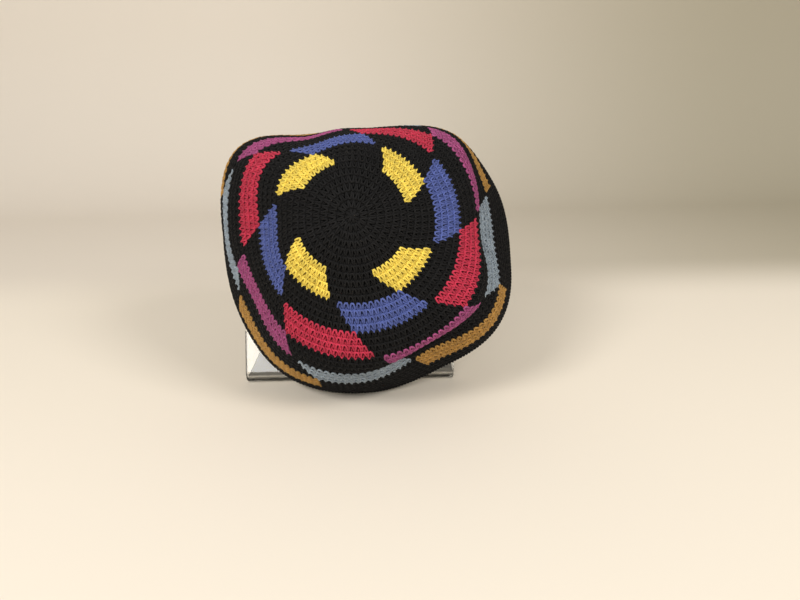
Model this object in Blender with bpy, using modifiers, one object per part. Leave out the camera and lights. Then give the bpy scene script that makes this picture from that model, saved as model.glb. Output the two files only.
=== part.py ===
"""Crocheted kippah skullcap shown on a clear slant-back stand, in metres.

The stand faces -Y with its foot centred on the origin and z = 0 underneath.
The cap leans on the stand's panel: the top of its rim sags onto the panel's top
edge, and the bottom of its rim touches the table in front.
"""
import math

import bpy
import numpy as np

for old in list(bpy.data.objects):
    bpy.data.objects.remove(old, do_unlink=True)

ROUND = 0.00395             # height of one crochet round along the cloth
CAP_ROUNDS = 34.0           # rounds from the crown to the edge of the cloth
CAP_WALL = 0.0028           # thickness of the crocheted cloth
CAP_RISE = 25.0             # how far the crown looks above the horizontal, degrees
CAP_TURN = -3.0             # how far the crown looks round towards -X, degrees
CAP_SPIN = -1.2             # the sections turned about the cap's own axis, degrees
CROWN_X = 0.0102            # crown centre seen from the middle of the foot
CROWN_Y = -0.1043
CROWN_Z = 0.1180
CAP_SECTORS = 36

EDGE_RADIUS = 0.0021        # corded edging worked round the rim
EDGE_SEAT = 0.0005          # edging sits this far off the edge of the cloth

STAND_WIDTH = 0.1270
STAND_SHEET = 0.0030
STAND_FOOT = 0.0800         # depth of the foot from bend to back edge
STAND_HEIGHT = 0.1356       # height of the sloping panel's top edge
STAND_LEAN = 21.0           # panel leans back from the vertical, degrees
STAND_BEND = 0.0060         # outside radius of the bend
STAND_POLISH = 0.0004       # softened edges of the sheet

# Slope of the cloth away from the crown plane, in degrees, at a few rounds.
# Azimuth runs from the bottom of the crown (0) to +X (90) and the top (180).
SLOPE_ROUNDS = (0.0, 6.0, 11.0, 15.0, 19.0, 23.0, 27.0, 31.0, 35.5)
SECTIONS = (
    # azimuth, centre, r6, r11, r15, r19, r23, r27, r31, rim
    (0.0, 12, 29, 33, 28, 38, 68, 82, 80, 76),
    (30.0, 13, 30, 32, 26, 37, 84, 92, 73, 69),
    (60.0, 11, 31, 33, 26, 19, 62, 94, 78, 78),
    (90.0, 6, 32, 36, 41, 49, 77, 76, 65, 76),
    (120.0, 0, 33, 33, 38, 50, 82, 74, 64, 74),
    (150.0, -6, 27, 40, 46, 57, 68, 69, 73, 80),
    (180.0, -12, 18, 53, 59, 66, 74, 80, 84, 88),
    (210.0, -13, 19, 50, 50, 55, 64, 70, 74, 80),
    (240.0, -11, 17, 32, 39, 49, 56, 59, 69, 80),
    (270.0, -6, 27, 46, 39, 36, 65, 67, 75, 85),
    (300.0, 0, 19, 44, 47, 57, 64, 57, 67, 82),
    (330.0, 6, 26, 36, 33, 44, 61, 67, 74, 80),
)

# Creases pressed into the wall: the slope is steeper before the crease line
# and flatter after it by the given number of degrees. A negative change is a
# corner that bulges instead, as over the top corners of the stand.
FOLDS = (
    # azimuth, half width (degrees), round, half width (rounds), slope change
    (42.0, 34.0, 24.0, 2.6, 40.0),
    (95.0, 26.0, 22.5, 2.2, 22.0),
    (234.0, 14.0, 26.0, 6.0, -7.0),
    (210.0, 13.0, 24.0, 6.0, 6.0),
    (138.0, 14.0, 26.0, 6.0, -7.0),
)


def slope_at(azimuth, rounds):
    """Slope of the cloth in radians: sections blended by azimuth, plus folds."""
    rows = np.array(SECTIONS)
    count = len(rows)
    place = azimuth / 360.0 * count
    base = int(math.floor(place))
    t = place - base
    weights = (
        -0.5 * t + t * t - 0.5 * t ** 3,
        1.0 - 2.5 * t * t + 1.5 * t ** 3,
        0.5 * t + 2.0 * t * t - 1.5 * t ** 3,
        -0.5 * t * t + 0.5 * t ** 3,
    )
    row = sum(w * rows[(base - 1 + i) % count, 1:] for i, w in enumerate(weights))
    slope = np.interp(rounds, SLOPE_ROUNDS, row)
    for centre, spread, crease, reach, change in FOLDS:
        away = (azimuth - centre + 180.0) % 360.0 - 180.0
        u = (rounds - crease) / reach
        slope = slope - change * math.exp(-(away / spread) ** 2) * u * np.exp(0.5 - 0.5 * u * u)
    return np.radians(slope)


def cap_frame():
    """Crown centre and the cap's own axes: out of the crown, down it, and sideways."""
    rise = math.radians(CAP_RISE)
    turn = math.radians(CAP_TURN)
    out = np.array([
        math.sin(turn) * math.cos(rise),
        -math.cos(turn) * math.cos(rise),
        math.sin(rise),
    ])
    down = np.array([
        math.sin(turn) * math.sin(rise),
        -math.cos(turn) * math.sin(rise),
        -math.cos(rise),
    ])
    side = np.cross(out, down)
    return np.array([CROWN_X, CROWN_Y, CROWN_Z]), out, down, side


def cloth_line(azimuth, stations):
    """Points down the cloth at one azimuth, with the running direction at each.

    The slope is summed along the cloth in quarter rounds, so that the distance
    walked over the surface stays one ROUND per crochet round.
    """
    centre, out, down, side = cap_frame()
    walk = np.arange(0.0, CAP_ROUNDS + 2.01, 0.25)
    slope = slope_at(azimuth, walk)
    step = ROUND * 0.25
    reach = np.concatenate(([0.0], np.cumsum((np.cos(slope[1:]) + np.cos(slope[:-1])) * 0.5 * step)))
    depth = np.concatenate(([0.0], np.cumsum((np.sin(slope[1:]) + np.sin(slope[:-1])) * 0.5 * step)))
    angle = math.radians(azimuth + CAP_SPIN)
    spoke = math.cos(angle) * down + math.sin(angle) * side
    points = []
    for station in stations:
        r = np.interp(station, walk, reach)
        d = np.interp(station, walk, depth)
        s = np.interp(station, walk, slope)
        along = math.cos(s) * spoke - math.sin(s) * out
        facing = math.sin(s) * spoke + math.cos(s) * out
        points.append((centre + r * spoke - d * out, along, facing))
    return points


def make_material(name, colour, roughness, alpha=1.0, transmission=0.0):
    material = bpy.data.materials.new(name)
    material.use_nodes = True
    shader = material.node_tree.nodes["Principled BSDF"]
    shader.inputs["Base Color"].default_value = (*colour, 1.0)
    shader.inputs["Roughness"].default_value = roughness
    shader.inputs["Alpha"].default_value = alpha
    shader.inputs["Transmission Weight"].default_value = transmission
    material.diffuse_color = (*colour, alpha)
    return material


def place(obj, material, collection):
    obj.data.materials.append(material)
    collection.objects.link(obj)
    return obj


def build_cap(collection):
    """The crocheted bowl: a coarse cage smoothed once, then given its wall."""
    rings = (1.5, 4.0, 7.0, 10.0, 13.0, 16.0, 18.5, 20.5, 22.5, 24.0, 25.5, 27.5, 30.0, 32.0, CAP_ROUNDS)
    centre = cap_frame()[0]
    verts = [tuple(centre)]
    for i in range(CAP_SECTORS):
        line = cloth_line(360.0 * i / CAP_SECTORS, rings)
        verts.extend(tuple(point) for point, _, _ in line)
    count = len(rings)
    faces = []
    for i in range(CAP_SECTORS):
        a = 1 + i * count
        b = 1 + (i + 1) % CAP_SECTORS * count
        faces.append((0, a, b))
        for j in range(count - 1):
            faces.append((a + j, a + j + 1, b + j + 1, b + j))
    mesh = bpy.data.meshes.new("cap")
    mesh.from_pydata(verts, [], faces)
    mesh.update()
    for polygon in mesh.polygons:
        polygon.use_smooth = True
    cap = bpy.data.objects.new("cap", mesh)
    smooth = cap.modifiers.new("smooth", "SUBSURF")
    smooth.levels = 1
    smooth.render_levels = 1
    wall = cap.modifiers.new("wall", "SOLIDIFY")
    wall.thickness = CAP_WALL
    wall.offset = -1.0
    wall.use_even_offset = True
    material = make_material("black_yarn", (0.012, 0.012, 0.014), 0.85)
    return place(cap, material, collection)


def build_rim_edging(collection):
    """The corded border worked round the edge of the cloth."""
    curve = bpy.data.curves.new("rim_edging", "CURVE")
    curve.dimensions = "3D"
    curve.bevel_depth = EDGE_RADIUS
    curve.bevel_resolution = 2
    cage = []
    for i in range(CAP_SECTORS):
        point, along, facing = cloth_line(360.0 * i / CAP_SECTORS, (CAP_ROUNDS,))[0]
        cage.append(point + along * (EDGE_SEAT + EDGE_RADIUS) - facing * CAP_WALL * 0.5)
    path = []
    for i in range(CAP_SECTORS):
        after = cage[(i + 1) % CAP_SECTORS]
        path.append((cage[i - 1] + 6.0 * cage[i] + after) / 8.0)
        path.append((cage[i] + after) / 2.0)
    spline = curve.splines.new("POLY")
    spline.points.add(len(path) - 1)
    for place_on, centre in zip(spline.points, path):
        place_on.co = (*centre, 1.0)
    spline.use_cyclic_u = True
    edging = bpy.data.objects.new("rim_edging", curve)
    material = make_material("edging_yarn", (0.010, 0.010, 0.012), 0.85)
    return place(edging, material, collection)


def build_stand(collection):
    """The clear sheet, bent once: a foot on the table and a panel leaning back."""
    lean = math.radians(STAND_LEAN)
    back = STAND_FOOT * 0.5
    hub = (-back + STAND_BEND, STAND_BEND)
    rise = (STAND_HEIGHT - hub[1] - STAND_BEND * math.sin(lean)) / math.cos(lean)

    def arc(radius, steps):
        sweep = math.pi * 0.5 + lean
        angles = [-math.pi * 0.5 - sweep * i / steps for i in range(steps + 1)]
        return [(hub[0] + radius * math.cos(t), hub[1] + radius * math.sin(t)) for t in angles]

    outside = arc(STAND_BEND, 6)
    inside = arc(STAND_BEND - STAND_SHEET, 6)
    climb = (math.sin(lean) * rise, math.cos(lean) * rise)
    outline = [(back, 0.0)]
    outline.extend(outside)
    outline.append((outside[-1][0] + climb[0], outside[-1][1] + climb[1]))
    outline.append((inside[-1][0] + climb[0], inside[-1][1] + climb[1]))
    outline.extend(reversed(inside))
    outline.append((back, STAND_SHEET))
    curve = bpy.data.curves.new("stand", "CURVE")
    curve.dimensions = "2D"
    curve.fill_mode = "BOTH"
    curve.extrude = STAND_WIDTH * 0.5 - STAND_POLISH
    curve.bevel_depth = STAND_POLISH
    curve.bevel_resolution = 0
    curve.offset = -STAND_POLISH
    spline = curve.splines.new("POLY")
    spline.points.add(len(outline) - 1)
    for i, (y, z) in enumerate(outline):
        spline.points[i].co = (y, z, 0.0, 1.0)
    spline.use_cyclic_u = True
    stand = bpy.data.objects.new("stand", curve)
    stand.rotation_euler = (math.pi * 0.5, 0.0, math.pi * 0.5)
    material = make_material("clear_acrylic", (0.92, 0.95, 0.95), 0.05, 0.35, 0.9)
    return place(stand, material, collection)


def build():
    collection = bpy.data.collections.new("kippah_on_stand")
    bpy.context.scene.collection.children.link(collection)
    build_cap(collection)
    build_rim_edging(collection)
    build_stand(collection)


build()
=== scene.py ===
"""Looks of a crocheted kippah skullcap leaning on a clear slant-back stand, in metres.

The cap is worked here stitch by stitch on the same surface as the CAD solid: every
stitch is a loop of yarn laid on the cloth, coloured by the chart of the six bands.
"""
import math

import bpy
import numpy as np
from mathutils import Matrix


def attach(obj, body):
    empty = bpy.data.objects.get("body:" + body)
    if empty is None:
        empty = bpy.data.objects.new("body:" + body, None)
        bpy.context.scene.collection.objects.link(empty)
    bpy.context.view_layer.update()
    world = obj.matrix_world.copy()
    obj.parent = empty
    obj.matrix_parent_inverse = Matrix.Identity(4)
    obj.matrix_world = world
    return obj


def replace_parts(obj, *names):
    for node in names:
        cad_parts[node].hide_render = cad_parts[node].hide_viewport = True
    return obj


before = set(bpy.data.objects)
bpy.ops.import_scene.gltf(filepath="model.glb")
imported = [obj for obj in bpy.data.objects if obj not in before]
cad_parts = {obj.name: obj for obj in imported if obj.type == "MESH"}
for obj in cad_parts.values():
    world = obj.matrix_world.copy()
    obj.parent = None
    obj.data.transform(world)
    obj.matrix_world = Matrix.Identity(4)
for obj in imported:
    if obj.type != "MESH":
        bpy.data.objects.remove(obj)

MM = 0.001
SEED = 613

# The cap's surface, from the same named sizes as the solid.
ROUND = 0.00395             # height of one crochet round along the cloth
CAP_ROUNDS = 34             # rounds from the crown to the edge of the cloth
CAP_WALL = 0.0028
CAP_RISE = 25.0             # how far the crown looks above the horizontal, degrees
CAP_TURN = -3.0
CAP_SPIN = -1.2
CROWN = (0.0102, -0.1043, 0.1180)
SLOPE_ROUNDS = (0.0, 6.0, 11.0, 15.0, 19.0, 23.0, 27.0, 31.0, 35.5)
SECTIONS = (
    # azimuth, centre, r6, r11, r15, r19, r23, r27, r31, rim
    (0.0, 12, 29, 33, 28, 38, 68, 82, 80, 76),
    (30.0, 13, 30, 32, 26, 37, 84, 92, 73, 69),
    (60.0, 11, 31, 33, 26, 19, 62, 94, 78, 78),
    (90.0, 6, 32, 36, 41, 49, 77, 76, 65, 76),
    (120.0, 0, 33, 33, 38, 50, 82, 74, 64, 74),
    (150.0, -6, 27, 40, 46, 57, 68, 69, 73, 80),
    (180.0, -12, 18, 53, 59, 66, 74, 80, 84, 88),
    (210.0, -13, 19, 50, 50, 55, 64, 70, 74, 80),
    (240.0, -11, 17, 32, 39, 49, 56, 59, 69, 80),
    (270.0, -6, 27, 46, 39, 36, 65, 67, 75, 85),
    (300.0, 0, 19, 44, 47, 57, 64, 57, 67, 82),
    (330.0, 6, 26, 36, 33, 44, 61, 67, 74, 80),
)
FOLDS = (
    # azimuth, half width (degrees), round, half width (rounds), slope change
    (42.0, 34.0, 24.0, 2.6, 40.0),
    (95.0, 26.0, 22.5, 2.2, 22.0),
    (234.0, 14.0, 26.0, 6.0, -7.0),
    (210.0, 13.0, 24.0, 6.0, 6.0),
    (138.0, 14.0, 26.0, 6.0, -7.0),
)

# The chart. Each band of colour is four rounds high and comes four times round
# the cap. Angles are where its inner and outer rows start and end, in degrees.
BANDS = (
    # yarn, first round, inner start, inner end, outer start, outer end, stitches inner, outer
    ("yellow", 8, 18.0, 60.6, 33.0, 73.6, 8, 10),
    ("blue", 12, 76.2, 124.1, 89.1, 134.4, 11, 14),
    ("crimson", 16, 136.1, 179.6, 145.0, 189.1, 13, 14),
    ("magenta", 20, 191.2, 235.0, 194.8, 241.9, 15, 16),
    ("grey", 24, 242.9, 285.7, 252.2, 292.9, 15, 16),
    ("gold", 28, 293.4, 343.2, 297.5, 343.6, 20, 19),
)
BAND_ROUNDS = 4
COUNT_ROUNDS = (1, 8, 11, 15, 19, 23, 27, 34)
QUARTER_STITCHES = (2, 16, 21, 27, 30, 32, 36, 36)

# One stitch seen from outside is an arch of yarn: across in stitch widths, out in
# rounds from the crown, lift in millimetres off the cloth.
ARCH = (
    # across, out, lift
    (-0.43, 1.10, -1.15),
    (-0.40, 0.86, -0.30),
    (-0.35, 0.56, 0.02),
    (-0.27, 0.24, 0.20),
    (-0.11, 0.00, 0.28),
    (0.11, 0.00, 0.28),
    (0.27, 0.24, 0.20),
    (0.35, 0.56, 0.02),
    (0.40, 0.86, -0.30),
    (0.43, 1.10, -1.15),
)
# The top of the stitch shows between the arches of the next round as a tip.
TIP = (
    # across, out, lift
    (-0.34, 0.76, -0.95),
    (-0.17, 1.02, -0.30),
    (0.0, 1.17, 0.10),
    (0.17, 1.02, -0.30),
    (0.34, 0.76, -0.95),
)
# Between the legs of an arch the drawn-up loop fills all but a small hole.
HEART = (
    # across, out, lift
    (0.0, 0.50, -1.10),
    (0.0, 0.74, -0.52),
    (0.0, 1.08, -0.85),
)
# On the inside of the cap a stitch is a low bar across the round.
BAR = (
    # across, out, lift
    (-0.60, 0.30, 0.50),
    (-0.22, 0.54, -0.12),
    (0.26, 0.56, -0.12),
    (0.62, 0.26, 0.50),
)
YARN_RADIUS = 0.00054
TIP_RADIUS = 0.00050
HEART_RADIUS = 0.00056
BAR_RADIUS = 0.00062
LEAN = 0.10                 # a stitch leans this far along its round
CORE_DEPTH = 0.0009         # the carried yarns lie this far under the face

EDGE_RADIUS = 0.0021
EDGE_SEAT = 0.0005
EDGE_STRAND = 0.00088
EDGE_STITCHES = 142

CAMERA_EYE = (0.0316, -0.4108, 0.1852)
CAMERA_PITCH = 19.6         # degrees below the horizon
CAMERA_ROLL = 1.2
CAMERA_LENS = 30.15

YARNS = {
    # yarn: colour, and that colour in painted shade, for the grooves between the plies and the core seen
    # through the holes
    "black": ((0.0115, 0.0112, 0.0115), (0.0040, 0.0040, 0.0040)),
    "yellow": ((0.90, 0.69, 0.105), (0.16, 0.10, 0.012)),
    "blue": ((0.085, 0.120, 0.36), (0.010, 0.013, 0.050)),
    "crimson": ((0.56, 0.028, 0.070), (0.070, 0.004, 0.012)),
    "magenta": ((0.38, 0.070, 0.21), (0.050, 0.010, 0.034)),
    "grey": ((0.32, 0.38, 0.44), (0.040, 0.050, 0.062)),
    "gold": ((0.50, 0.27, 0.060), (0.070, 0.036, 0.009)),
}

random = np.random.default_rng(SEED)
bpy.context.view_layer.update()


def unit(vectors):
    return vectors / np.maximum(np.linalg.norm(vectors, axis=-1, keepdims=True), 1e-12)


def slopes(azimuths, rounds):
    """Slope of the cloth in radians on a grid of azimuths by rounds.

    Each section is read between its rounds in straight lines. Between sections the
    four nearest are blended by a cubic, and each fold adds u * exp(1/2 - u * u / 2).
    """
    rows = np.array(SECTIONS)
    table = np.array([np.interp(rounds, SLOPE_ROUNDS, row[1:]) for row in rows])
    place = azimuths / 360.0 * len(rows)
    base = np.floor(place).astype(int)
    t = (place - base)[:, None]
    slope = (-0.5 * t + t ** 2 - 0.5 * t ** 3) * table[(base - 1) % len(rows)]
    slope = slope + (1.0 - 2.5 * t ** 2 + 1.5 * t ** 3) * table[base % len(rows)]
    slope = slope + (0.5 * t + 2.0 * t ** 2 - 1.5 * t ** 3) * table[(base + 1) % len(rows)]
    slope = slope + (-0.5 * t ** 2 + 0.5 * t ** 3) * table[(base + 2) % len(rows)]
    for centre, spread, crease, reach, change in FOLDS:
        away = (azimuths - centre + 180.0) % 360.0 - 180.0
        u = (rounds - crease) / reach
        slope = slope - change * np.exp(-(away / spread) ** 2)[:, None] * u * np.exp(0.5 - 0.5 * u * u)
    return np.radians(slope)


class CapSurface:
    """The outer face of the cloth, sampled once and then read at any azimuth and round.

    Points are the crown plus reach along the spoke less depth along the cap's axis,
    where reach and depth are the running sums of cosine and sine of the slope. The
    normal is the cross product of the grid's two directions.
    """

    SPOKES = 720
    STEP = 0.25

    def __init__(self):
        azimuths = np.arange(self.SPOKES) * 360.0 / self.SPOKES
        rounds = np.arange(0.0, CAP_ROUNDS + 2.01, self.STEP)
        slope = slopes(azimuths, rounds)
        step = ROUND * self.STEP * 0.5
        start = np.zeros((self.SPOKES, 1))
        reach = np.hstack([start, np.cumsum((np.cos(slope[:, 1:]) + np.cos(slope[:, :-1])) * step, axis=1)])
        depth = np.hstack([start, np.cumsum((np.sin(slope[:, 1:]) + np.sin(slope[:, :-1])) * step, axis=1)])
        rise, turn = math.radians(CAP_RISE), math.radians(CAP_TURN)
        out = np.array([
            math.sin(turn) * math.cos(rise), -math.cos(turn) * math.cos(rise), math.sin(rise)])
        down = np.array([
            math.sin(turn) * math.sin(rise), -math.cos(turn) * math.sin(rise), -math.cos(rise)])
        side = np.cross(out, down)
        angle = np.radians(azimuths + CAP_SPIN)[:, None]
        spoke = np.cos(angle) * down + np.sin(angle) * side
        self.points = np.array(CROWN) + reach[..., None] * spoke[:, None] - depth[..., None] * out
        around = np.roll(self.points, -1, axis=0) - np.roll(self.points, 1, axis=0)
        along = np.gradient(self.points, axis=1)
        normals = unit(np.cross(along, around))
        normals[:, 0] = out
        normals[:, 1] = unit(normals[:, 2] + out)
        self.normals = normals

    def read(self, grid, azimuth, rounds):
        """Value of a grid between its samples, by straight-line blending both ways."""
        a = np.asarray(azimuth) % 360.0 / 360.0 * self.SPOKES
        k = np.clip(np.asarray(rounds) / self.STEP, 0.0, grid.shape[1] - 1.001)
        i, j = a.astype(int), k.astype(int)
        s, t = (a - i)[..., None], (k - j)[..., None]
        i, after = i % self.SPOKES, (i + 1) % self.SPOKES
        near = grid[i, j] * (1.0 - t) + grid[i, j + 1] * t
        far = grid[after, j] * (1.0 - t) + grid[after, j + 1] * t
        return near * (1.0 - s) + far * s

    def at(self, azimuth, rounds, lift=0.0):
        """Points lifted off the outer face, with the facing there. Lift is in metres."""
        facing = unit(self.read(self.normals, azimuth, rounds))
        return self.read(self.points, azimuth, rounds) + np.asarray(lift)[..., None] * facing, facing


cap = CapSurface()


def chart():
    """Every stitch of the cap, as arrays of azimuth, width in degrees, round and yarn.

    In a round with a band, a quarter holds the band's stitches evenly between its
    start and end, and black ones evenly over the rest.
    """
    names = list(YARNS)
    azimuth, width, rounds, yarn = [], [], [], []

    def lay(first, last, count, round_number, name):
        step = (last - first) / count
        azimuth.append(first + (np.arange(count) + 0.5) * step)
        width.append(np.full(count, step))
        rounds.append(np.full(count, round_number))
        yarn.append(np.full(count, names.index(name)))

    for number in range(1, CAP_ROUNDS + 1):
        quarter = int(round(np.interp(number, COUNT_ROUNDS, QUARTER_STITCHES)))
        band = [row for row in BANDS if row[1] <= number < row[1] + BAND_ROUNDS]
        if not band:
            drift = 0.35 * number * 90.0 / quarter
            lay(drift, drift + 360.0, 4 * quarter, number, "black")
            continue
        name, first, start_in, end_in, start_out, end_out, few, many = band[0]
        share = (number - first + 0.5) / BAND_ROUNDS
        start = start_in + (start_out - start_in) * share
        end = end_in + (end_out - end_in) * share
        count = int(round(few + (many - few) * (number - first) / (BAND_ROUNDS - 1)))
        for turn in (0.0, 90.0, 180.0, 270.0):
            lay(start + turn, end + turn, count, number, name)
            lay(end + turn, start + turn + 90.0, quarter - count, number, "black")
    return tuple(np.concatenate(part) for part in (azimuth, width, rounds, yarn))


def yarn_at(azimuth, round_number, stitches):
    """Index of the yarn whose stitch covers each azimuth in one round."""
    centre, width, rounds, yarn = stitches
    here = rounds == round_number
    gap = (azimuth[:, None] - centre[here] + 180.0) % 360.0 - 180.0
    nearest = np.argmin(np.abs(gap) / width[here], axis=1)
    return yarn[here][nearest]


def strands(paths, facing, radius, closed=False):
    """Round yarn along many paths at once: points, quads and the yarn's own UV.

    paths and facing are strands by stations by 3. A ring of six points stands round
    each station: path + radius * (cos t * side + sin t * up), where side is facing
    crossed with the running direction. U is the turn round the yarn, and V is the
    length along it in millimetres. Open ends are closed by two quads.
    """
    sides = 6
    count, stations = paths.shape[:2]
    if closed:
        run = np.roll(paths, -1, axis=1) - np.roll(paths, 1, axis=1)
    else:
        run = np.gradient(paths, axis=1)
    run = unit(run)
    side = unit(np.cross(facing, run))
    up = np.cross(run, side)
    t = np.arange(sides) * 2.0 * math.pi / sides
    ring = np.cos(t)[:, None] * side[:, :, None] + np.sin(t)[:, None] * up[:, :, None]
    points = paths[:, :, None] + np.asarray(radius)[..., None, None] * ring
    spans = stations if closed else stations - 1
    s, j, i = np.meshgrid(np.arange(count), np.arange(spans), np.arange(sides), indexing="ij")
    near = (s * stations + j) * sides
    far = (s * stations + (j + 1) % stations) * sides
    after = (i + 1) % sides
    quads = np.stack([near + i, near + after, far + after, far + i], axis=-1).reshape(-1, 4)
    length = np.linalg.norm(np.diff(paths, axis=1, append=paths[:, :1]), axis=-1) / MM
    travel = np.concatenate([np.zeros((count, 1)), np.cumsum(length, axis=1)], axis=1)
    low, high = travel[s, j], travel[s, j + 1]
    u = np.stack([i, i + 1, i + 1, i], axis=-1) / sides
    v = np.stack([low, low, high, high], axis=-1)
    uv = np.stack([u, v], axis=-1).reshape(-1, 4, 2)
    owner = s.reshape(-1)
    if not closed:
        first = np.arange(count) * stations * sides
        last = first + (stations - 1) * sides
        ends = [first[:, None] + np.array(q) for q in ((3, 2, 1, 0), (5, 4, 3, 0))]
        ends += [last[:, None] + np.array(q) for q in ((0, 1, 2, 3), (0, 3, 4, 5))]
        quads = np.concatenate([quads, *ends])
        uv = np.concatenate([uv, np.zeros((4 * count, 4, 2))])
        owner = np.concatenate([owner, np.tile(np.arange(count), 4)])
    return points.reshape(-1, 3), quads, uv, owner


def stitch_strands(shape, azimuth, width, rounds, radius, base=0.0, wobble=0.04, lean=LEAN):
    """The shape's table laid on the cap once for each stitch, a little uneven.

    Azimuth is the stitch's own plus across times its width, the round is the one
    before plus out, and the lift is off the outer face by base.
    """
    across, out, lift = np.array(shape).T
    count = len(azimuth)
    noise = random.normal(0.0, wobble, (3, count, len(shape)))
    spread = random.normal(1.0, wobble, (count, 1))
    places = azimuth[:, None] + (across * spread + noise[0] * 0.5 + lean * (out - 0.5)) * width[:, None]
    heights = rounds[:, None] - 1.0 + out + noise[1] * 0.6
    lifts = base + (lift + noise[2] * 1.5) * MM
    paths, facing = cap.at(places, heights, lifts)
    size = radius * random.normal(1.0, 0.04, (count, 1)) * np.ones(len(shape))
    return strands(paths, facing, size)


def make_piece(name, parts, material):
    """One mesh from several sets of points, quads, UV and owner, with a tint per strand."""
    points, quads, uvs, tints = [], [], [], []
    offset = 0
    for part_points, part_quads, part_uv, owner in parts:
        points.append(part_points)
        quads.append(part_quads + offset)
        uvs.append(part_uv)
        tints.append(random.uniform(0.0, 1.0, owner.max() + 1)[owner])
        offset += len(part_points)
    points, quads = np.concatenate(points), np.concatenate(quads)
    mesh = bpy.data.meshes.new(name)
    mesh.vertices.add(len(points))
    mesh.vertices.foreach_set("co", points.ravel())
    mesh.loops.add(quads.size)
    mesh.polygons.add(len(quads))
    mesh.polygons.foreach_set("loop_start", np.arange(0, quads.size, 4))
    mesh.polygons.foreach_set("vertices", quads.ravel())
    mesh.polygons.foreach_set("use_smooth", np.ones(len(quads), dtype=bool))
    mesh.uv_layers.new(name="yarn").uv.foreach_set("vector", np.concatenate(uvs).ravel())
    mesh.attributes.new("tint", "FLOAT", "FACE").data.foreach_set("value", np.concatenate(tints))
    mesh.update(calc_edges=True)
    piece = bpy.data.objects.new(name, mesh)
    bpy.context.scene.collection.objects.link(piece)
    mesh.materials.append(material)
    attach(piece, "root")
    return piece


def yarn_material(name, colour, shaded_colour, gloss):
    """Twisted cotton: three plies wound round the strand, with painted shade in the grooves between them, and
    a soft sheen.
    """
    material = bpy.data.materials.new(name)
    material.use_nodes = True
    nodes, links = material.node_tree.nodes, material.node_tree.links
    shader = nodes["Principled BSDF"]
    uv = nodes.new("ShaderNodeUVMap")
    uv.uv_map = "yarn"
    split = nodes.new("ShaderNodeSeparateXYZ")
    links.new(uv.outputs["UV"], split.inputs[0])
    turns = nodes.new("ShaderNodeMath")
    turns.operation = "MULTIPLY"
    turns.inputs[1].default_value = 3.0
    links.new(split.outputs["X"], turns.inputs[0])
    twist = nodes.new("ShaderNodeMath")
    twist.operation = "MULTIPLY_ADD"
    twist.inputs[1].default_value = 1.1
    links.new(split.outputs["Y"], twist.inputs[0])
    links.new(turns.outputs[0], twist.inputs[2])
    phase = nodes.new("ShaderNodeMath")
    phase.operation = "MULTIPLY"
    phase.inputs[1].default_value = 2.0 * math.pi
    links.new(twist.outputs[0], phase.inputs[0])
    wave = nodes.new("ShaderNodeMath")
    wave.operation = "SINE"
    links.new(phase.outputs[0], wave.inputs[0])
    ply = nodes.new("ShaderNodeMapRange")
    ply.inputs["From Min"].default_value = -1.0
    ply.inputs["From Max"].default_value = 0.6
    links.new(wave.outputs[0], ply.inputs["Value"])

    tint = nodes.new("ShaderNodeAttribute")
    tint.attribute_name = "tint"
    shade = nodes.new("ShaderNodeMapRange")
    shade.inputs["To Min"].default_value = 0.80
    shade.inputs["To Max"].default_value = 1.12
    links.new(tint.outputs["Fac"], shade.inputs["Value"])
    # painted shade: where the ply wave is low the colour blends towards the yarn's shaded colour, darkening
    # the grooves
    mix = nodes.new("ShaderNodeMix")
    mix.data_type = "RGBA"
    mix.inputs["A"].default_value = (*[0.45 * c + 0.55 * d for c, d in zip(colour, shaded_colour)], 1.0)
    mix.inputs["B"].default_value = (*colour, 1.0)
    links.new(ply.outputs["Result"], mix.inputs["Factor"])
    scale = nodes.new("ShaderNodeVectorMath")
    scale.operation = "SCALE"
    links.new(mix.outputs["Result"], scale.inputs[0])
    links.new(shade.outputs["Result"], scale.inputs["Scale"])
    links.new(scale.outputs[0], shader.inputs["Base Color"])

    bump = nodes.new("ShaderNodeBump")
    bump.inputs["Strength"].default_value = 0.5
    bump.inputs["Distance"].default_value = 0.00012
    links.new(ply.outputs["Result"], bump.inputs["Height"])
    links.new(bump.outputs["Normal"], shader.inputs["Normal"])
    shader.inputs["Roughness"].default_value = 0.72
    shader.inputs["Sheen Weight"].default_value = 0.15 * gloss
    shader.inputs["Sheen Roughness"].default_value = 0.4
    shader.inputs["Specular IOR Level"].default_value = gloss
    return material


def core_material():
    """The carried yarns inside the cloth, tinted under each band with that yarn's colour in painted shade,
    which the holes between stitches show.
    """
    material = bpy.data.materials.new("carried_yarn_painted_shade")
    material.use_nodes = True
    nodes, links = material.node_tree.nodes, material.node_tree.links
    shader = nodes["Principled BSDF"]
    shaded_yarn = nodes.new("ShaderNodeAttribute")
    shaded_yarn.attribute_name = "shaded_yarn"
    place = nodes.new("ShaderNodeTexCoord")
    noise = nodes.new("ShaderNodeTexNoise")
    noise.inputs["Scale"].default_value = 900.0
    noise.inputs["Detail"].default_value = 3.0
    links.new(place.outputs["Object"], noise.inputs["Vector"])
    shade = nodes.new("ShaderNodeMapRange")
    shade.inputs["To Min"].default_value = 0.6
    shade.inputs["To Max"].default_value = 1.3
    links.new(noise.outputs["Fac"], shade.inputs["Value"])
    scale = nodes.new("ShaderNodeVectorMath")
    scale.operation = "SCALE"
    links.new(shaded_yarn.outputs["Color"], scale.inputs[0])
    links.new(shade.outputs["Result"], scale.inputs["Scale"])
    links.new(scale.outputs[0], shader.inputs["Base Color"])
    shader.inputs["Roughness"].default_value = 0.9
    shader.inputs["Specular IOR Level"].default_value = 0.1
    return material


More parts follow.
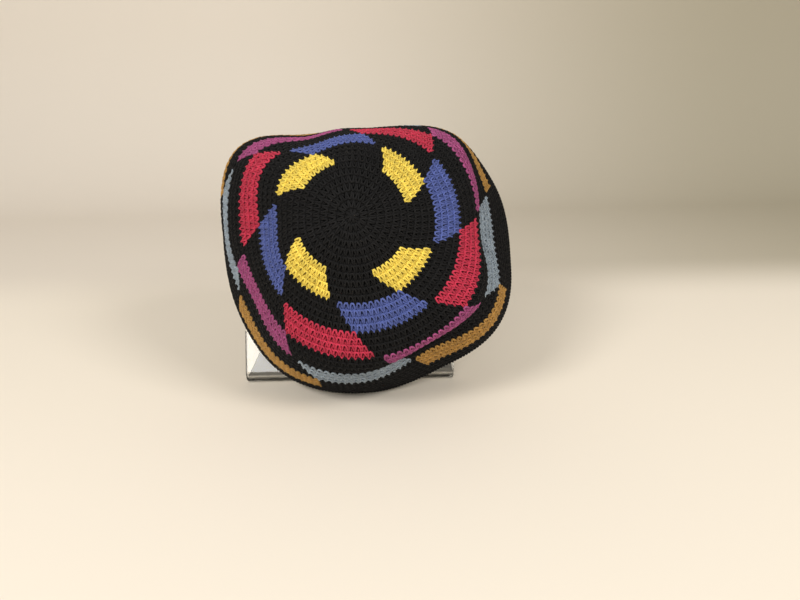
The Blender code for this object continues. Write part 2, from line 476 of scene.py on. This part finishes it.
def build_stitches(stitches):
    """The arches of every stitch and the tips between them, one piece for each yarn."""
    azimuth, width, rounds, yarn = stitches
    tips = {name: [] for name in YARNS}
    for number in range(1, CAP_ROUNDS):
        next_round = rounds == number + 1
        centre, step = azimuth[next_round], width[next_round]
        order = np.argsort(centre % 360.0)
        centre, step = centre[order] % 360.0, step[order]
        gap = centre + 0.5 * ((np.roll(centre, -1) - centre) % 360.0)
        below = yarn_at(gap, number, stitches)
        for index, name in enumerate(YARNS):
            here = below == index
            if here.any():
                tips[name].append(np.stack([gap[here], step[here], np.full(here.sum(), number)]))
    groups = {
        "stitches_" + name: (name, rounds >= 0) for name in YARNS if name != "black"
    }
    groups["stitches_black_crown"] = ("black", rounds <= 18)
    groups["stitches_black_side"] = ("black", (rounds > 18) & (rounds <= 27))
    groups["stitches_black_rim"] = ("black", rounds > 27)
    for piece_name, (name, chosen) in groups.items():
        here = chosen & (yarn == list(YARNS).index(name))
        top = np.concatenate(tips[name], axis=1)
        low, high = rounds[here].min(), rounds[here].max()
        if name == "black":
            low = 1 if piece_name.endswith("crown") else low
            keep = (top[2] >= low) & (top[2] <= high)
        else:
            keep = top[2] >= 0
        tip_azimuth, tip_width, tip_round = top[:, keep]
        parts = [
            stitch_strands(ARCH, azimuth[here], width[here], rounds[here], YARN_RADIUS),
            stitch_strands(TIP, tip_azimuth, tip_width, tip_round, TIP_RADIUS, lean=0.0),
            stitch_strands(HEART, azimuth[here], width[here], rounds[here], HEART_RADIUS),
        ]
        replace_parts(make_piece(piece_name, parts, yarns[name]), "cap")


def build_inside(stitches):
    """The inside of the cap: a low bar of yarn across each stitch, one piece for each yarn."""
    azimuth, width, rounds, yarn = stitches
    for index, name in enumerate(YARNS):
        here = yarn == index
        part = stitch_strands(
            BAR, azimuth[here], width[here], rounds[here], BAR_RADIUS, base=-CAP_WALL)
        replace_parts(make_piece("inside_" + name, [part], yarns[name]), "cap")


def build_core(stitches):
    """The middle of the cloth: a closed shell between the outer and the inner stitches, coloured in painted
    shade.

    Two copies of the cap's surface, one CORE_DEPTH under the face and one the same
    above the inside, joined at the rim, with the crown closed by a fan of quads.
    """
    spokes, rings = 240, 2 * CAP_ROUNDS
    spoke, ring = np.meshgrid(np.arange(spokes) * 360.0 / spokes, (np.arange(rings) + 1) * 0.5, indexing="ij")
    outer, _ = cap.at(spoke, ring, np.full(spoke.shape, -CORE_DEPTH))
    inner, _ = cap.at(spoke, ring, np.full(spoke.shape, CORE_DEPTH - CAP_WALL))
    points = np.concatenate([outer.reshape(-1, 3), inner.reshape(-1, 3)])
    i, j = np.meshgrid(np.arange(spokes), np.arange(rings - 1), indexing="ij")
    near, far = i * rings + j, (i + 1) % spokes * rings + j
    face = np.stack([near, near + 1, far + 1, far], axis=-1).reshape(-1, 4)
    half = spokes * rings
    lip, lip_far = np.arange(spokes) * rings + rings - 1, (np.arange(spokes) + 1) % spokes * rings + rings - 1
    rim = np.stack([lip, lip + half, lip_far + half, lip_far], axis=-1)
    even = np.arange(0, spokes, 2)
    poles, _ = cap.at(np.zeros(2), np.zeros(2), np.array([-CORE_DEPTH, CORE_DEPTH - CAP_WALL]))
    points = np.concatenate([points, poles])
    top = np.stack([np.full(len(even), 2 * half), even * rings, (even + 1) * rings, (even + 2) % spokes * rings], axis=-1)
    under = (top + np.array([1, half, half, half]))[:, ::-1]
    quads = np.concatenate([face, face[:, ::-1] + half, rim, top, under])
    mesh = bpy.data.meshes.new("cloth_core")
    mesh.from_pydata(points.tolist(), [], quads.tolist())
    mesh.polygons.foreach_set("use_smooth", np.ones(len(quads), dtype=bool))
    # painted shade: each ring of the shell takes the shaded colour of the yarn whose stitch covers it
    shaded_yarns = np.array([YARNS[name][1] for name in YARNS])
    shaded_yarn = np.ones((len(points), 4))
    shaded_yarn[:, :3] = shaded_yarns[0]
    for number in range(1, CAP_ROUNDS + 1):
        for k in (2 * number - 2, 2 * number - 1):
            found = shaded_yarns[yarn_at(spoke[:, k], number, stitches)]
            shaded_yarn[np.arange(spokes) * rings + k, :3] = found
            shaded_yarn[half + np.arange(spokes) * rings + k, :3] = found
    mesh.color_attributes.new("shaded_yarn", "FLOAT_COLOR", "POINT").data.foreach_set("color", shaded_yarn.ravel())
    mesh.update(calc_edges=True)
    core = bpy.data.objects.new("cloth_core", mesh)
    bpy.context.scene.collection.objects.link(core)
    mesh.materials.append(core_material())
    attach(core, "root")
    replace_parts(core, "cap")


def build_edging():
    """The corded edging: two strands wound round the rim, one turn for each stitch.

    The rim's line runs EDGE_SEAT and a radius past the last round, halfway through
    the wall. A strand is that line plus (cos w * outward + sin w * across) times the
    winding radius, where w grows by one turn a stitch.
    """
    per_turn = 12
    turn = np.arange(EDGE_STITCHES * per_turn) / per_turn
    azimuth = turn * 360.0 / EDGE_STITCHES
    line, facing = cap.at(azimuth, np.full(len(turn), CAP_ROUNDS), np.full(len(turn), -CAP_WALL * 0.5))
    before, _ = cap.at(azimuth, np.full(len(turn), CAP_ROUNDS - 1.0), np.full(len(turn), -CAP_WALL * 0.5))
    outward = unit(line - before)
    line = line + outward * (EDGE_SEAT + EDGE_RADIUS)
    parts = []
    for start in (0.0, 0.5):
        w = (turn + start)[:, None] * 2.0 * math.pi
        reach = EDGE_RADIUS - EDGE_STRAND + 0.00022 * np.cos(w)
        around = np.cos(w) * outward + np.sin(w) * facing
        path = line + reach * around
        size = np.full((1, len(turn)), EDGE_STRAND)
        parts.append(strands(path[None], around[None], size, closed=True))
    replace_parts(make_piece("edging_cord", parts, yarns["black"]), "rim_edging")


def finish_stand():
    """Clear acrylic: almost no colour, and glossy."""
    material = bpy.data.materials.new("acrylic_sheet")
    material.use_nodes = True
    shader = material.node_tree.nodes["Principled BSDF"]
    shader.inputs["Base Color"].default_value = (0.97, 0.985, 0.98, 1.0)
    shader.inputs["Roughness"].default_value = 0.02
    shader.inputs["IOR"].default_value = 1.49
    shader.inputs["Transmission Weight"].default_value = 1.0
    nodes, links = material.node_tree.nodes, material.node_tree.links
    place = nodes.new("ShaderNodeTexCoord")
    noise = nodes.new("ShaderNodeTexNoise")
    noise.inputs["Scale"].default_value = 60.0
    links.new(place.outputs["Object"], noise.inputs["Vector"])
    bump = nodes.new("ShaderNodeBump")
    bump.inputs["Strength"].default_value = 0.04
    bump.inputs["Distance"].default_value = 0.0002
    links.new(noise.outputs["Fac"], bump.inputs["Height"])
    links.new(bump.outputs["Normal"], shader.inputs["Normal"])
    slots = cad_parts["stand"].data.materials
    slots.clear()
    slots.append(material)


def build_stage():
    """The floor that curves up into a backdrop: a profile of y and z swept across x, with painted shade on
    the backdrop.
    """
    bend = np.linspace(0.0, math.pi / 2.0, 17)
    radius, start, top = 0.25, 0.45, 1.6
    profile = [(-1.6, 0.0), (-0.6, 0.0), (0.0, 0.0)]
    profile += [(start + radius * math.sin(a), radius - radius * math.cos(a)) for a in bend]
    profile.append((start + radius, top))
    profile = np.array(profile)
    across = np.linspace(-1.8, 1.8, 9)
    x, row = np.meshgrid(across, np.arange(len(profile)), indexing="ij")
    points = np.stack([x, profile[row, 0], profile[row, 1]], axis=-1).reshape(-1, 3)
    i, j = np.meshgrid(np.arange(len(across) - 1), np.arange(len(profile) - 1), indexing="ij")
    corner = i * len(profile) + j
    quads = np.stack([corner, corner + len(profile), corner + len(profile) + 1, corner + 1], axis=-1)
    mesh = bpy.data.meshes.new("backdrop")
    mesh.from_pydata(points.tolist(), [], quads.reshape(-1, 4).tolist())
    mesh.polygons.foreach_set("use_smooth", np.ones(len(mesh.polygons), dtype=bool))
    material = bpy.data.materials.new("pale_cloth_painted_shade")
    material.use_nodes = True
    shader = material.node_tree.nodes["Principled BSDF"]
    nodes, links = material.node_tree.nodes, material.node_tree.links
    place = nodes.new("ShaderNodeTexCoord")
    split = nodes.new("ShaderNodeSeparateXYZ")
    links.new(place.outputs["Object"], split.inputs[0])
    # painted shade: the backdrop's colour darkens from left to right across x
    across = nodes.new("ShaderNodeMapRange")
    across.interpolation_type = "SMOOTHSTEP"
    across.inputs["From Min"].default_value = -0.25
    across.inputs["From Max"].default_value = 0.60
    links.new(split.outputs["X"], across.inputs["Value"])
    shade_to_right = nodes.new("ShaderNodeMix")
    shade_to_right.data_type = "RGBA"
    shade_to_right.inputs["A"].default_value = (0.71, 0.65, 0.57, 1.0)
    shade_to_right.inputs["B"].default_value = (0.43, 0.39, 0.30, 1.0)
    links.new(across.outputs["Result"], shade_to_right.inputs["Factor"])
    # painted shade: between y 0.10 and 0.22 the even floor colour gives way to the darker, shaded backdrop
    # colour
    behind = nodes.new("ShaderNodeMapRange")
    behind.interpolation_type = "SMOOTHSTEP"
    behind.inputs["From Min"].default_value = 0.10
    behind.inputs["From Max"].default_value = 0.22
    links.new(split.outputs["Y"], behind.inputs["Value"])
    tone = nodes.new("ShaderNodeMix")
    tone.data_type = "RGBA"
    tone.inputs["A"].default_value = (0.80, 0.735, 0.635, 1.0)
    links.new(shade_to_right.outputs["Result"], tone.inputs["B"])
    links.new(behind.outputs["Result"], tone.inputs["Factor"])
    links.new(tone.outputs["Result"], shader.inputs["Base Color"])
    shader.inputs["Roughness"].default_value = 0.9
    shader.inputs["Specular IOR Level"].default_value = 0.1
    mesh.materials.append(material)
    backdrop = bpy.data.objects.new("backdrop", mesh)
    bpy.context.scene.collection.objects.link(backdrop)


def area_light(name, place, target, size, watts, colour):
    light = bpy.data.lights.new(name, "AREA")
    light.shape = "RECTANGLE"
    light.size, light.size_y = size
    light.energy = watts
    light.color = colour
    lamp = bpy.data.objects.new(name, light)
    lamp.location = place
    aim = np.array(target) - np.array(place)
    lamp.rotation_euler = (
        math.acos(-aim[2] / np.linalg.norm(aim)), 0.0, math.atan2(aim[1], aim[0]) - math.pi / 2.0)
    bpy.context.scene.collection.objects.link(lamp)


def build_lights():
    """Two soft lamps in front, one on each side, a low one for the stand, and a pale room."""
    area_light("key", (-0.75, -0.95, 1.00), (0.0, 0.0, 0.05), (0.42, 0.42), 13.0, (1.0, 0.97, 0.93))
    area_light("fill", (0.85, -0.80, 0.90), (0.0, 0.0, 0.05), (0.42, 0.42), 10.0, (1.0, 0.97, 0.93))
    area_light("low_front", (-0.30, -1.15, 0.36), (0.0, 0.0, 0.06), (0.34, 0.30), 2.0, (1.0, 0.98, 0.93))
    world = bpy.data.worlds.new("room")
    world.use_nodes = True
    world.node_tree.nodes["Background"].inputs["Color"].default_value = (0.95, 0.93, 0.89, 1.0)
    world.node_tree.nodes["Background"].inputs["Strength"].default_value = 0.45
    bpy.context.scene.world = world


def build_camera():
    """The camera that fits the photograph, from its pitch and its roll, and plain sRGB tones."""
    pitch, roll = math.radians(CAMERA_PITCH), math.radians(CAMERA_ROLL)
    forward = np.array([0.0, math.cos(pitch), -math.sin(pitch)])
    right = np.array([1.0, 0.0, 0.0])
    below = np.cross(forward, right)
    turned = right * math.cos(roll) + below * math.sin(roll)
    below = below * math.cos(roll) - right * math.sin(roll)
    camera = bpy.data.cameras.new("camera")
    camera.lens = CAMERA_LENS
    camera.sensor_width = 36.0
    camera.clip_start = 0.01
    eye = bpy.data.objects.new("camera", camera)
    matrix = np.eye(4)
    matrix[:3, 0], matrix[:3, 1], matrix[:3, 2] = turned, -below, -forward
    matrix[:3, 3] = CAMERA_EYE
    eye.matrix_world = matrix.T.tolist()
    bpy.context.scene.collection.objects.link(eye)
    bpy.context.scene.camera = eye
    bpy.context.scene.view_settings.view_transform = "Standard"


yarns = {
    name: yarn_material("yarn_" + name, colour, shaded_colour, 0.08 if name == "black" else 0.32)
    for name, (colour, shaded_colour) in YARNS.items()
}
stitches = chart()
build_core(stitches)
build_stitches(stitches)
build_inside(stitches)
build_edging()
finish_stand()
build_stage()
build_lights()
build_camera()
